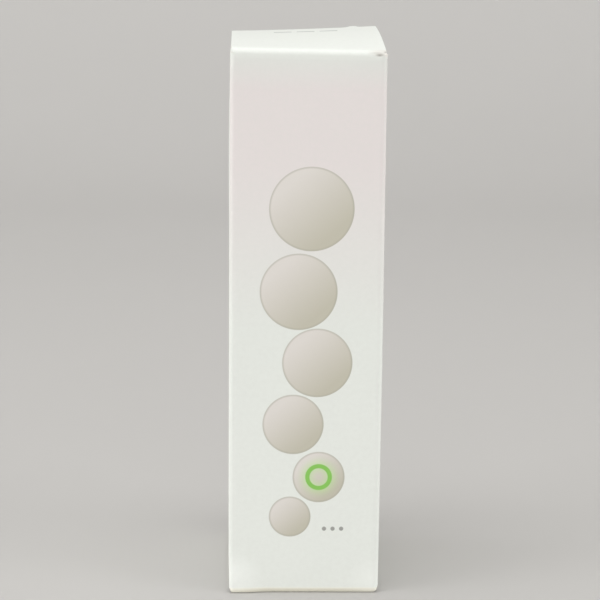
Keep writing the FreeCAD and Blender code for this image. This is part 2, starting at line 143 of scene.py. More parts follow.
def knocked(points):
    """
    Every knock moves what lies near its spot, by its push times exp(-(distance / reach)^4). Near the front,
    what lies past the crushed corner's slope, the blunt corner's circle or the worn fold's is pressed onto
    it. The fold is lifted by a straight ramp from right to left, times exp(-(distance to it / reach)^2).
    """
    moved = points.copy()
    for spot, reach, push in KNOCKS:
        near = np.exp(-(((points - spot) ** 2).sum(-1) / reach ** 2) ** 2)
        moved += near[..., None] * np.array(push)
    x, y, z = moved[..., 0], moved[..., 1], moved[..., 2]
    x = x - DRAWN_IN * np.clip(1 - z / DRAWN_HEIGHT, 0, 1) * np.clip(x / HALF_WIDTH, 0, 1)
    from_front = y + HALF_DEPTH
    slope = np.array([CRUSH_RISE, CRUSH_ACROSS]) / math.hypot(CRUSH_RISE, CRUSH_ACROSS)
    past = -(x + HALF_WIDTH) * slope[0] - (z - CRUSH_RISE) * slope[1]
    press = np.clip(past, 0, None) * fading(from_front, CRUSH_REACH)
    x, z = x + press * slope[0], z + press * slope[1]
    across = x - (HALF_WIDTH - DRAWN_IN - BLUNT_RADIUS)
    down = BLUNT_RADIUS - z
    press = past_round(across, down, BLUNT_RADIUS) * fading(from_front, BLUNT_REACH)
    x, z = x - across * press, z + down * press
    up = z - (HEIGHT - WORN_RADIUS)
    ahead = WORN_RADIUS - from_front
    press = past_round(ahead, up, WORN_RADIUS)
    y, z = y + ahead * press, z - up * press
    lift = FOLD_LIFT * np.clip((HALF_WIDTH - x) / (2 * HALF_WIDTH), 0, 1)
    near_fold = np.exp(-((HEIGHT - z) ** 2 + from_front ** 2) / FOLD_REACH ** 2)
    return np.stack([x, y, z + lift * near_fold], -1)


def patch(u, v, points):
    """A grid of the sheet: its places on the flat blank, in millimetres, beside its folded places."""
    flat = np.stack(np.broadcast_arrays(u, v), -1)
    return flat, knocked(np.stack(np.broadcast_arrays(*points), -1))


def grid_faces(rows, columns, used=0):
    """The quads between a grid's corners, which are numbered row by row after those already used."""
    index = used + np.arange(rows * columns).reshape(rows, columns)
    return np.stack((index[:-1, :-1], index[1:, :-1], index[1:, 1:], index[:-1, 1:]), -1).reshape(-1, 4)


def in_scene(name, data):
    """An object that holds a mesh, a lamp or a camera, put into the scene."""
    thing = bpy.data.objects.new(name, data)
    bpy.context.scene.collection.objects.link(thing)
    return thing


CUT_SOFTNESS, CUT_ANGLE = 0.05, 50


def board_piece(name, patches, finishes):
    """
    One mesh from patches whose rows run along u and columns up v. Corners that fall together are merged.
    The mesh is the outer face, and gets the board's thickness inwards and slightly softened cut edges.
    """
    flats, places, faces, used = [], [], [], 0
    for flat, points in patches:
        rows, columns = flat.shape[:2]
        faces.append(grid_faces(rows, columns, used))
        flats.append(flat.reshape(-1, 2))
        places.append(points.reshape(-1, 3))
        used += rows * columns
    flats, places, faces = np.concatenate(flats), np.concatenate(places), np.concatenate(faces)
    _, first, merged = np.unique(np.round(places, 4), axis=0, return_index=True, return_inverse=True)
    mesh = bpy.data.meshes.new(name)
    mesh.from_pydata(places[first] * MM, [], merged.ravel()[faces])
    mesh.uv_layers.new(name="blank").uv.foreach_set("vector", flats[faces].astype(np.float32).ravel())
    mesh.shade_smooth()
    piece = in_scene(name, mesh)
    for finish in finishes:
        mesh.materials.append(finish)
    thick = piece.modifiers.new("thickness", "SOLIDIFY")
    thick.thickness, thick.offset = BOARD * MM, -1
    thick.use_even_offset = True
    thick.material_offset, thick.material_offset_rim = 1, 2
    soften = piece.modifiers.new("cut edges", "BEVEL")
    soften.width, soften.segments = CUT_SOFTNESS * MM, 2
    soften.limit_method, soften.angle_limit = "ANGLE", math.radians(CUT_ANGLE)
    soften.harden_normals = True
    return piece


# Round the sleeve in plan, from the left panel's raw rear edge: (length, turn) of each panel and fold.
quarter = math.pi / 2
fold_length = UPRIGHT_RADIUS * quarter
side_length = 2 * (HALF_DEPTH - UPRIGHT_RADIUS)
front_length = 2 * (HALF_WIDTH - UPRIGHT_RADIUS)
back_length = front_length - BOARD
sleeve_legs = (
    (side_length, 0), (fold_length, quarter),
    (front_length, 0), (fold_length, quarter),
    (side_length, 0), (fold_length, quarter),
    (back_length, 0), (fold_length, quarter),
    (GLUE_WIDTH, 0),
)
left_end = side_length
front_start = left_end + fold_length
front_end = front_start + front_length
right_start = front_end + fold_length
right_end = right_start + side_length
back_start = right_end + fold_length
back_end = back_start + back_length
glue_start = back_end + fold_length
blank_middle = front_start + front_length / 2


def swell(v):
    """1 in the middle of the height and 0 at the dust flaps' roots: 1 - |h|^6, where h runs from -1 to 1."""
    h = (v - SIDE_BASE) / (SIDE_TOP - SIDE_BASE) * 2 - 1
    return np.clip(1 - np.abs(h) ** 6, 0, 1)


def bow(u, v):
    """
    How far the panels stand out of their planes: a sine wave across each panel, times the swell up it. The
    left panel's has a bell curve up it as well, exp(-(height from the peak / spread)^2), over its end share.
    """
    panels = (
        (0, left_end, BOW_LEFT), (front_start, front_end, BOW_FRONT),
        (right_start, right_end, BOW_RIGHT), (back_start, back_end, BOW_BACK),
    )
    out = np.zeros(np.broadcast(u, v).shape)
    for begin, end, height in panels:
        across = np.sin(np.pi * np.clip((u - begin) / (end - begin), 0, 1))
        bell = np.exp(-((v - LEFT_PEAK * HEIGHT) / (LEFT_SPREAD * HEIGHT)) ** 2)
        near_top = LEFT_END_SHARE + (1 - LEFT_END_SHARE) * bell
        out = out + height * across * (near_top if begin == 0 else 1)
    return out * swell(v)


def sleeve_patch(u, v):
    """A piece of the sleeve: its plan path at u, moved out along its normal by the bow, at the height v."""
    u, v = np.broadcast_arrays(u[:, None], v)
    start = (-HALF_WIDTH, HALF_DEPTH - UPRIGHT_RADIUS)
    step = 1e-3
    (x, y), ahead, behind = (folded(start, -quarter, sleeve_legs, u + off) for off in (0, step, -step))
    tangent = np.stack([ahead[0] - behind[0], ahead[1] - behind[1]])
    tangent = tangent / np.linalg.norm(tangent, axis=0)
    out = bow(u, v)
    return patch(u - blank_middle, v, (x + out * tangent[1], y - out * tangent[0], v))


# Places up the sleeve, with the dust flaps' roots among them, and round it, with so many places to a fold.
# The front's rows reach past its folds, for a strip of both side panels.
FOLD_PLACES, FRONT_STRIP = 9, 0.3
main_rows = spread(SIDE_BASE, SIDE_TOP, 84, crowd=0.8)
front_rows = joined(
    np.linspace(BASE_CREASE, SIDE_BASE, 4),
    main_rows,
    np.linspace(SIDE_TOP, LID_CREASE, 4),
)
back_rows = joined(np.linspace(0, SIDE_BASE, 6), main_rows, np.linspace(SIDE_TOP, HEIGHT, 6))
side_y = joined(
    np.linspace(FRONT_STRIP - HALF_DEPTH + UPRIGHT_RADIUS, DUST_FRONT, 3),
    spread(DUST_FRONT, DUST_REAR, 34, crowd=0.6),
    np.linspace(DUST_REAR, HALF_DEPTH - UPRIGHT_RADIUS, 5),
)
side_in = side_y + HALF_DEPTH - UPRIGHT_RADIUS
left_u = left_end - side_in[::-1]
right_u = right_start + side_in
front_u = joined(
    np.linspace(left_end - FRONT_STRIP, left_end, 3),
    np.linspace(left_end, front_start, FOLD_PLACES),
    spread(front_start, front_end, 44, crowd=0.8),
    np.linspace(front_end, right_start, FOLD_PLACES),
    np.linspace(right_start, right_start + FRONT_STRIP, 3),
)

# The back panel's rows give way round the thumb notch: in a reach under the panel's top they are squeezed
# under the notch's arc.
SQUEEZE_REACH = 20
notch_radius = (NOTCH_HALF ** 2 + NOTCH_DEPTH ** 2) / (2 * NOTCH_DEPTH)
back_middle = back_start + HALF_WIDTH - UPRIGHT_RADIUS
back_u = joined(
    np.linspace(right_end, back_start, FOLD_PLACES),
    spread(back_start, back_middle - NOTCH_HALF, 14, crowd=0.5),
    spread(back_middle - NOTCH_HALF, back_middle + NOTCH_HALF, 24),
    spread(back_middle + NOTCH_HALF, back_end, 14, crowd=0.5),
    np.linspace(back_end, glue_start, FOLD_PLACES),
)
off_middle = np.clip(np.abs(back_u - back_middle), 0, NOTCH_HALF)
notch_edge = HEIGHT - NOTCH_DEPTH + notch_radius - np.sqrt(notch_radius ** 2 - off_middle ** 2)
squeeze_from = HEIGHT - SQUEEZE_REACH
squeezed = (notch_edge[:, None] - squeeze_from) / (HEIGHT - squeeze_from)
back_grid = np.where(
    back_rows > squeeze_from,
    squeeze_from + (back_rows - squeeze_from) * squeezed,
    back_rows,
)

# The glue flap: a full-height land beside its fold, then the flap itself, which starts a gap in from both
# ends and slopes back to its free edge. The land's rows shift across it to meet the flap's.
GAP_PLACES = 5
glue_low, glue_high = SIDE_BASE + GLUE_GAP, SIDE_TOP - GLUE_GAP
glue_rows = spread(glue_low, glue_high, len(main_rows) - 2 * GAP_PLACES + 1)
land_rows = joined(
    np.linspace(SIDE_BASE, glue_low, GAP_PLACES),
    glue_rows,
    np.linspace(glue_high, SIDE_TOP, GAP_PLACES),
)
glue_land_u = np.linspace(glue_start, glue_start + GLUE_LAND, 4)
land_share = np.linspace(0, 1, len(glue_land_u))[:, None]
glue_land_grid = main_rows * (1 - land_share) + land_rows * land_share
glue_u = np.linspace(glue_start + GLUE_LAND, glue_start + GLUE_WIDTH, 10)
sloped = np.linspace(0, GLUE_TAPER, len(glue_u))[:, None]
up_flap = (glue_rows - glue_low) / (glue_high - glue_low)
glue_grid = glue_low + sloped + up_flap * (glue_high - glue_low - 2 * sloped)

# The dust flaps' roots, each place as a share of the way from the flap's front to its rear edge.
side_roots = side_y[(side_y >= DUST_FRONT - 1e-6) & (side_y <= DUST_REAR + 1e-6)]
side_root_share = (side_roots - DUST_FRONT) / (DUST_REAR - DUST_FRONT)


def dust_flap(side, end):
    """
    A dust flap: a quarter round fold and a flat flap, side -1 left or 1 right, end -1 base or 1 top. It
    narrows in a straight line, and its tip's corners are circles: half width - radius + sqrt(r² - d²).
    """
    fold = DUST_RADIUS * quarter
    total = fold + DUST_LENGTH
    s = joined(
        np.linspace(0, fold, FOLD_PLACES),
        spread(fold, total - DUST_CORNER, 8, crowd=0.2),
        total - DUST_CORNER * np.cos(np.linspace(0, quarter, FOLD_PLACES)),
    )
    inward, rise = folded((0, 0), quarter, ((fold, -quarter), (DUST_LENGTH, 0)), s)
    narrow = DUST_TAPER * np.clip((s - fold) / DUST_LENGTH, 0, 1)
    into_corner = np.clip(s - (total - DUST_CORNER), 0, DUST_CORNER)
    narrow = narrow + DUST_CORNER - np.sqrt(DUST_CORNER ** 2 - into_corner ** 2)
    share = side_root_share[:, None]
    y = (DUST_FRONT + narrow) * (1 - share) + (DUST_REAR - narrow) * share
    root = SIDE_TOP if end > 0 else SIDE_BASE
    x = side * (HALF_WIDTH - inward) + 0 * y
    z = root + end * rise + 0 * y
    v = root + end * s + 0 * y
    if side > 0:
        u = right_start + HALF_DEPTH - UPRIGHT_RADIUS + y
    else:
        u = left_end - (HALF_DEPTH - UPRIGHT_RADIUS) - y
    # Rows follow the sheet round the sleeve and columns go up it, so that the face points out.
    order = slice(None, None, side)
    climb = slice(None, None, end)
    u, v, x, y, z = (grid[order, climb] for grid in (u - blank_middle, v, x, y, z))
    return patch(u, v, (x, y, z))


class Wire:
    """A value in a material. Python's signs on it add Math nodes, and so do abs, clamp and root."""

    def __init__(self, tree, socket):
        self.tree, self.socket = tree, socket

    def math(self, operation, *values, clamp=False):
        node = self.tree.nodes.new("ShaderNodeMath")
        node.operation, node.use_clamp = operation, clamp
        for socket, value in zip(node.inputs, values):
            if isinstance(value, Wire):
                self.tree.links.new(value.socket, socket)
            else:
                socket.default_value = value
        return Wire(self.tree, node.outputs[0])

    def __add__(self, other):
        return self.math("ADD", self, other)

    def __sub__(self, other):
        return self.math("SUBTRACT", self, other)

    def __rsub__(self, other):
        return self.math("SUBTRACT", other, self)

    def __mul__(self, other):
        return self.math("MULTIPLY", self, other)

    def __truediv__(self, other):
        return self.math("DIVIDE", self, other)

    def __pow__(self, other):
        return self.math("POWER", self, other)

    def __abs__(self):
        return self.math("ABSOLUTE", self)

    __radd__ = __add__
    __rmul__ = __mul__

    def clamp(self):
        return self.math("ADD", self, 0, clamp=True)

    def root(self):
        return self.math("SQRT", self.math("MAXIMUM", self, 0))


class Finish:
    """A material: its shader, and one method that adds any node."""

    def __init__(self, name, **constants):
        self.material = bpy.data.materials.new(name)
        self.material.use_nodes = True
        self.tree = self.material.node_tree
        self.shader = self.tree.nodes["Principled BSDF"]
        for socket, value in constants.items():
            self.shader.inputs[socket].default_value = value

    def node(self, kind, settings, values, output=0):
        """A node of a kind, with its settings set first, then values or links for its sockets."""
        node = self.tree.nodes.new(f"ShaderNode{kind}")
        for name, value in settings.items():
            setattr(node, name, value)
        for name, value in values.items():
            socket = node.inputs[name]
            if isinstance(value, Wire):
                self.tree.links.new(value.socket, socket)
            else:
                socket.default_value = value
        return Wire(self.tree, node.outputs[output])

    def noise(self, place, scale, detail=2.0, roughness=0.5, stretch=None):
        """Noise between 0 and 1, with so many waves to a unit of the place."""
        if stretch:
            place = self.node("VectorMath", {"operation": "MULTIPLY"}, {0: place, 1: stretch})
        return self.node("TexNoise", {"noise_dimensions": "3D"}, {
            "Vector": place, "Scale": scale, "Detail": detail, "Roughness": roughness})

    def mix(self, share, first, second):
        """The first colour where share is 0 and the second where it is 1."""
        return self.node("Mix", {"data_type": "RGBA"}, {0: share, 6: first, 7: second}, output=2)

    def use(self, socket, value):
        self.tree.links.new(value.socket, self.shader.inputs[socket])

    def bump(self, height, depth):
        """Relief from a height between 0 and 1, so many metres deep."""
        normal = self.node("Bump", {}, {"Strength": 1.0, "Distance": depth, "Height": height})
        self.use("Normal", normal)


def colour(red, green, blue):
    """A colour as a screen shows it, each part from 0 to 255, turned to the light it stands for."""
    parts = (part / 255 for part in (red, green, blue))
    return (*(((part + 0.055) / 1.055) ** 2.4 for part in parts), 1.0)


# The outer face: white clay coating with a dull satin. It is a little uneven, rubbed along the folds, has
# painted light and shade laid into its white, and carries the print, which is laid out on the flat blank: u
# from the middle of the front, v up from the base.
coated = Finish("coated_board_outside", Roughness=0.5, IOR=1.45)
blank = coated.node("UVMap", {"uv_map": "blank"}, {})
u = coated.node("SeparateXYZ", {}, {"Vector": blank}, output="X")
v = coated.node("SeparateXYZ", {}, {"Vector": blank}, output="Y")
INK_BLUR = 0.16


def ramp(value, none, full):
    """0 where a value is none, 1 where it is full, a straight line between them, and level past both."""
    return ((value - none) / (full - none)).clamp()


def away(off_u, off_v):
    """How far a place is from another on the blank: the root of the two offsets' squares."""
    return (off_u ** 2 + off_v ** 2).root()


def off_oval(middle_u, middle_v, half_long, half_high):
    """How far a place is from an oval's middle, in shares of its half lengths, so 1 on its outline."""
    return away((u - middle_u) / half_long, (v - middle_v) / half_high)


def inked(distance):
    """1 where a distance to an outline is negative, 0 where it is positive, over the blur of the ink."""
    return ramp(distance, INK_BLUR / 2, -INK_BLUR / 2)


# Painted shade: the white is darker up the front, from a least share to a most, along the middle of the
# lid's fold, where it dims the fold's highlight, and towards the back of the lid. The upper front has a
# painted warm shade, which stops short of the lid and the sides. The darker white also takes a random cloud
# of tone. Each pair says where such a share is none and where it is full.
WHITE, WHITE_SHADED_AND_CLOUDED, WHITE_WARM_SHADE = colour(234, 237, 231), colour(223, 226, 220), colour(229, 217, 217)
LID_FOLD, BASE_FOLD = LID_CREASE + 0.8, BASE_CREASE + 0.5
PAINTED_SHADE_LEAST, PAINTED_SHADE_MOST, PAINTED_SHADE_FOLD, PAINTED_SHADE_STRENGTH, WARM_SHADE_STRENGTH = 0.2, 1.0, 0.62, 0.95, 0.7
PAINTED_SHADE_UNDER_LID, PAINTED_SHADE_BACK = (LID_CREASE, LID_CREASE - 1.5), (LID_CREASE, LID_CREASE + 50)
PAINTED_SHADE_BY_FOLD, WARM_SHADE_ACROSS = (1.96, 0.56), (20.5, 17.5)
WARM_SHADE_UP, WARM_SHADE_UNDER_LID = (0.5 * LID_CREASE, 0.8 * LID_CREASE), (LID_CREASE, LID_CREASE - 8)
CLOUD_STRENGTH, MOTTLE_STRENGTH, MOTTLE_MEAN, MOTTLE = 0.3, 0.5, 0.12, colour(216, 217, 211)
cloud = coated.noise(blank, 0.045, detail=3)
mottle = coated.noise(blank, 0.9, detail=4, roughness=0.6)
off_lid_fold = abs(v - LID_FOLD)
up_panel = (v / LID_CREASE).clamp()
# Painted shade: darker up the front, along the lid's fold and towards the lid's back.
painted_shade = (up_panel ** 2 * (PAINTED_SHADE_MOST - PAINTED_SHADE_LEAST) + PAINTED_SHADE_LEAST) * ramp(v, *PAINTED_SHADE_UNDER_LID)
painted_shade = painted_shade + ramp(off_lid_fold, *PAINTED_SHADE_BY_FOLD) * PAINTED_SHADE_FOLD + ramp(v, *PAINTED_SHADE_BACK)
# Painted warm shade over the upper front.
warm_shade = ramp(v, *WARM_SHADE_UP) * ramp(v, *WARM_SHADE_UNDER_LID) * ramp(abs(u), *WARM_SHADE_ACROSS)
paint = coated.mix((painted_shade * PAINTED_SHADE_STRENGTH + (cloud - 0.5) * CLOUD_STRENGTH).clamp(), WHITE, WHITE_SHADED_AND_CLOUDED)
paint = coated.mix(warm_shade * WARM_SHADE_STRENGTH, paint, WHITE_WARM_SHADE)
paint = coated.mix((mottle - 0.5) * MOTTLE_STRENGTH + MOTTLE_MEAN, paint, MOTTLE)

# Six pale discs climb the front from side to side, each (u, v, radius). They are lit from their upper left
# and have a thin dark rim.
DISCS = (
    (-3.4, 18.5, 4.8), (3.2, 28.0, 6.0), (-2.8, 40.5, 7.0),
    (2.6, 55.0, 8.0), (-1.8, 71.5, 8.8), (1.0, 90.5, 9.6),
)
DISC_RIM, DISC_DEEP, DISC_LIGHT = colour(170, 167, 153), colour(193, 189, 173), colour(222, 217, 211)
RIM_WIDE, RIM_STRENGTH, SHADE_ACROSS, SHADE_UP = 0.5, 0.7, 0.42, 0.5
for disc_u, disc_v, radius in DISCS:
    off_u, off_v = u - disc_u, v - disc_v
    distance = away(off_u, off_v) - radius
    shade = (0.5 + off_u * (SHADE_ACROSS / radius) - off_v * (SHADE_UP / radius)).clamp()
    tone = coated.mix(shade, DISC_LIGHT, DISC_DEEP)
    tone = coated.mix(ramp(distance, -RIM_WIDE, 0) * RIM_STRENGTH, tone, DISC_RIM)
    paint = coated.mix(inked(distance), paint, tone)

# A green ring with a pale glow lies on the second disc, and three grey dots beside the lowest one.
RING_U, RING_V, RING_RADIUS, RING_WIDTH = 3.2, 28.0, 2.6, 1.0
GLOW_REACH, GLOW_STRENGTH, GLOW, RING = 3.0, 0.8, colour(192, 226, 156), colour(136, 196, 92)
off_ring = abs(away(u - RING_U, v - RING_V) - RING_RADIUS)
paint = coated.mix(ramp(off_ring, GLOW_REACH, 0) ** 2 * GLOW_STRENGTH, paint, GLOW)
paint = coated.mix(inked(off_ring - RING_WIDTH / 2), paint, RING)
DOTS_U, DOT_V, DOT_RADIUS = (4.6, 6.6, 8.6), 15.6, 0.5
GREY_STRENGTH, DOT_GREY, DASH_GREY = 0.8, colour(132, 131, 126), colour(132, 134, 131)
for dot_u in DOTS_U:
    distance = away(u - dot_u, v - DOT_V) - DOT_RADIUS
    paint = coated.mix(inked(distance) * GREY_STRENGTH, paint, DOT_GREY)

# On the lid, near its tuck fold, is a row of short grey dashes.
DASHES_V, DASH_LONG, DASH_THIN, DASH_STEP, DASH_COUNT = LID_CREASE + 35.8, 4.2, 1.1, 5.4, 3
in_row = inked(abs(v - DASHES_V) - DASH_THIN / 2)
in_dash = inked(u.math("PINGPONG", u, DASH_STEP / 2) - DASH_LONG / 2)
in_reach = inked(abs(u) - DASH_COUNT * DASH_STEP / 2)
paint = coated.mix(in_row * in_dash * in_reach * GREY_STRENGTH, paint, DASH_GREY)

# Wear and painted light, each kind with its strength and its tint. The folds are rubbed a little whiter and
# duller, in broken patches, and their whiter tint is also a painted highlight along them. The front is
# whiter towards its lower corners. The base's fold has painted light, a pale cream where it turns down into
# shade, with a painted shade line along its crease. The lid's fold is worn at its right end and painted
# darker there, a painted shade that dims its highlight, with a painted highlight on a pale lump and dark
# marks of painted shade where it is pinched, and each of these is an oval: (u, v, half length, half height).
# Pairs say where a share is none and where it is full.
RUB_HIGHLIGHT_UPRIGHT, RUB_HIGHLIGHT_FOLD, RUB_HIGHLIGHT_BROKEN = (0.9, 0), (1.2, 0), (0.42, 0.67)
CORNER_U, CORNER_V, CORNER_REACH = 16.0, 3.5, (6.0, 0)
BASE_LIGHT_V, BASE_LIGHT_BAND, BASE_LIGHT_LEAST, BASE_LIGHT_BROKEN = 0.4, (1.14, 0.54), 0.5, 0.6
CREASE_SHADE_V, CREASE_SHADE_BAND, CREASE_SHADE_ACROSS = 0.65, (0.65, 0.15), (21.6, 9.6)
WORN_SHADE_OVAL, LUMP_HIGHLIGHT_OVAL = (17.0, 126.0, 4.6, 1.5), (17.3, 125.1, 0.8, 0.6)
# Dark marks of painted shade where the lid's fold is pinched.
PINCH_SHADES = (
    ((15.7, 125.15, 1.15, 0.42), 0.66),
    ((15.0, 125.65, 1.9, 0.38), 0.24),
    ((16.9, 125.95, 0.5, 0.45), 0.5),
)
PINCH_SHADE_TINT = colour(112, 98, 90)
broken = coated.noise(blank, 1.6, detail=5, roughness=0.7)
off_upright = abs(abs(u) - (front_length + fold_length) / 2)
off_fold = v.math("MINIMUM", off_lid_fold, abs(v - BASE_FOLD))
on_front = inked(abs(u) - HALF_WIDTH)
# Rubbed whiter along the folds, which also stands for a painted highlight there.
rub_and_highlight = (ramp(off_upright, *RUB_HIGHLIGHT_UPRIGHT) + ramp(off_fold, *RUB_HIGHLIGHT_FOLD)).clamp() * ramp(broken, *RUB_HIGHLIGHT_BROKEN)
corner = ramp(away(abs(u) - CORNER_U, v - CORNER_V), *CORNER_REACH)
# Painted light: a pale cream along the base's fold where it turns down into shade.
base_fold_light = ramp(abs(v - BASE_LIGHT_V), *BASE_LIGHT_BAND) * (broken * BASE_LIGHT_BROKEN + BASE_LIGHT_LEAST) * on_front
# Painted shade: a darker line along the base's crease, fading towards the corners.
crease_shade = ramp(abs(v - CREASE_SHADE_V), *CREASE_SHADE_BAND) * ramp(abs(u), *CREASE_SHADE_ACROSS) * on_front
# The lid fold's worn end is also painted darker, a painted shade over its highlight; the lump's pale tint is
# a painted highlight.
worn_and_shaded = ramp(off_oval(*WORN_SHADE_OVAL), 1, 0)
lump_highlight = ramp(off_oval(*LUMP_HIGHLIGHT_OVAL), 1, 1 / 3)
wear = (
    (rub_and_highlight, 0.2, colour(244, 245, 240)),
    (corner, 0.45, colour(246, 248, 243)),
    (base_fold_light, 0.65, colour(248, 243, 225)),
    (crease_shade, 0.5, colour(190, 185, 163)),
    ((worn_and_shaded * 1.6).clamp(), 0.4, colour(206, 197, 189)),
    (lump_highlight, 0.6, colour(246, 240, 233)),
    *((ramp(off_oval(*oval), 1, 0), strength, PINCH_SHADE_TINT) for oval, strength in PINCH_SHADES),
)
for share, strength, tint in wear:
    paint = coated.mix(share * strength, paint, tint)
SATIN, SATIN_MOTTLE, SATIN_RUBBED, SATIN_WORN = 0.52, 0.1, 0.2, 0.3
FIBRE_SHARE = 0.1
coated.use("Base Color", paint)
coated.use("Roughness", SATIN + mottle * SATIN_MOTTLE + rub_and_highlight * SATIN_RUBBED + worn_and_shaded * SATIN_WORN)
fibre = coated.noise(blank, 3.2, detail=3, roughness=0.65)
wave = coated.noise(blank, 0.22, detail=2)
coated.bump(fibre * FIBRE_SHARE + wave, depth=0.06 * MM)

# The inner face is the bare grey-cream pulp, with its grain across the blank and a few darker specks.
PULP_DARK, PULP_PALE, SPECK = colour(214, 208, 194), colour(231, 227, 216), colour(176, 166, 146)
SPECK_SHARES, SPECK_STRENGTH = (0.7, 0.7 + 1 / 12), 0.5
bare = Finish("bare_board_inside", Roughness=0.9, IOR=1.4)
inside = bare.node("UVMap", {"uv_map": "blank"}, {})
grain = bare.noise(inside, 2.0, detail=5, roughness=0.7, stretch=(0.35, 1.6, 1.0))
specks = ramp(bare.noise(inside, 1.7, detail=2), *SPECK_SHARES)
bare.use("Base Color", bare.mix(specks * SPECK_STRENGTH, bare.mix(grain, PULP_DARK, PULP_PALE), SPECK))
bare.use("Roughness", 0.82 + grain * 0.12)
bare.bump(grain, depth=0.04 * MM)

# The raw cut edge: loose white fibres, a fine mottle of paler and slightly darker fluff.
FLUFF_DARK, FLUFF_PALE = colour(219, 214, 203), colour(240, 238, 231)
raw = Finish("raw_board_edge", Roughness=0.95, IOR=1.4)
fluff = raw.noise(raw.node("TexCoord", {}, {}, output="Object"), 2600.0, detail=4, roughness=0.7)
raw.use("Base Color", raw.mix(fluff, FLUFF_DARK, FLUFF_PALE))
raw.use("Roughness", 0.88 + fluff * 0.1)
raw.bump(fluff, depth=0.03 * MM)
FINISHES = (coated.material, bare.material, raw.material)

sleeve = board_piece("folded_sleeve", [
    sleeve_patch(left_u, main_rows),
    sleeve_patch(front_u, front_rows),
    sleeve_patch(right_u, main_rows),
    sleeve_patch(back_u, back_grid),
    sleeve_patch(glue_land_u, glue_land_grid),
    sleeve_patch(glue_u, glue_grid),
    *(dust_flap(side, end) for side in (-1, 1) for end in (-1, 1)),
], FINISHES)
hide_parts("carton_shell")
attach(sleeve, "carton")

# The two closures: a closing panel that hinges on a crease of the front panel, and a tuck flap that slides
# in behind the back panel. They are part of the same sheet. The top one is arched, lies a little aside and
# askew, and has sprung up at its rear right corner. The bottom one lies flat under the carton.
LID_HALF, LID_REAR, LID_BEVEL = 17.2, 21.75, 1.4
LID_ASIDE, LID_SKEW = 0.06, 0.23
TUCK_RADIUS, TUCK_HALF, TUCK_CORNER, TUCK_DROP, TUCK_GAP = 0.9, 16.1, 6.0, 12.0, 0.3
LID_RADIUS, BASE_RADIUS = HEIGHT - LID_CREASE, BASE_CREASE
CROWN_LEFT, CROWN_RIGHT, CROWN_FLAT = 0.35, 0.6, 0.001
RISE_LEFT, RISE_RIGHT, RISE_CURVE = 0.12, 1.48, 1.4
TUCK_TIP = math.sqrt((2 * HALF_DEPTH - BOARD - TUCK_GAP) ** 2 - TUCK_DROP ** 2) - HALF_DEPTH


def closure_legs(radius, rise, crown):
    """
    A closure seen from the side, as (length, turn) legs from its crease. The closing panel's arc, of radius
    depth² / (8 * crown), touches both folds' circles, so its centre makes a triangle with theirs. The tuck
    flap leaves the rear fold along the line that touches its circle and ends at the tip.
    """
    arch = (2 * HALF_DEPTH) ** 2 / (8 * crown)
    hinge = np.array([radius - HALF_DEPTH, -radius])
    rear = np.array([LID_REAR - TUCK_RADIUS, rise - TUCK_RADIUS])
    apart = np.linalg.norm(rear - hinge)
    to_hinge, to_rear = arch - radius, arch - TUCK_RADIUS
    slope = math.atan2(*(rear - hinge)[::-1])
    at_hinge = math.acos((to_hinge ** 2 + apart ** 2 - to_rear ** 2) / (2 * to_hinge * apart))
    at_arch = math.acos((to_hinge ** 2 + to_rear ** 2 - apart ** 2) / (2 * to_hinge * to_rear))
    leave = slope - at_hinge + math.pi
    meet = leave - at_arch
    to_tip = np.array([TUCK_TIP, -radius - TUCK_DROP]) - rear
    reach = np.linalg.norm(to_tip)
    lean = math.atan2(to_tip[1], to_tip[0]) + math.acos(TUCK_RADIUS / reach)
    return (
        (radius * (math.pi - leave), leave - math.pi),
        (arch * at_arch, -at_arch),
        (TUCK_RADIUS * (meet - lean), lean - meet),
        (math.sqrt(reach ** 2 - TUCK_RADIUS ** 2), 0),
    )


def along(legs, shares):
    """Places on a folded strip: each leg's shares of its own length, one leg after the other."""
    begun, stretches = 0.0, []
    for (length, _), share in zip(legs, shares):
        stretches.append(begun + length * share)
        begun += length
    return joined(*stretches)


def closure_patch(radius, rises, crowns):
    """
    A closure as a grid. The left and the right section are worked out at the same shares of their legs, and
    every place between them lies on the line that joins them, nearer the left one: at its share of the
    width, to the power of the rise's curve. Its half width is the lid's, less the bevel at the rear corners,
    and from the middle of the rear fold the tuck flap's, with round corners at the tip.
    """
    round_shares = np.linspace(0, 1, FOLD_PLACES)
    panel_shares = spread(0, 1, 48, crowd=0.7)
    tuck_shares = joined(np.linspace(0, 0.5, 5), 0.5 + 0.5 * np.sin(np.linspace(0, quarter, 14)))
    shares = (round_shares, panel_shares, round_shares, tuck_shares)
    sections = []
    for rise, crown in zip(rises, crowns):
        legs = closure_legs(radius, rise, crown)
        s = along(legs, shares)
        sections.append((s, *folded((-HALF_DEPTH, -radius), quarter, legs, s)))
    s, y, _ = sections[0]
    bevel = np.clip(y - (LID_REAR - LID_BEVEL), 0, LID_BEVEL)
    rear_fold_middle = len(joined(round_shares, panel_shares)) - 1 + FOLD_PLACES // 2
    half = np.where(np.arange(len(s)) >= rear_fold_middle, TUCK_HALF, LID_HALF - bevel)
    to_end = np.clip(TUCK_CORNER - (s[-1] - s), 0, TUCK_CORNER)
    half = half - TUCK_CORNER + np.sqrt(TUCK_CORNER ** 2 - to_end ** 2)
    x = spread(-1, 1, 46, crowd=0.7)[:, None] * half
    right = ((x / LID_HALF + 1) / 2) ** RISE_CURVE
    return x, *(left * (1 - right) + other * right for left, other in zip(*sections))


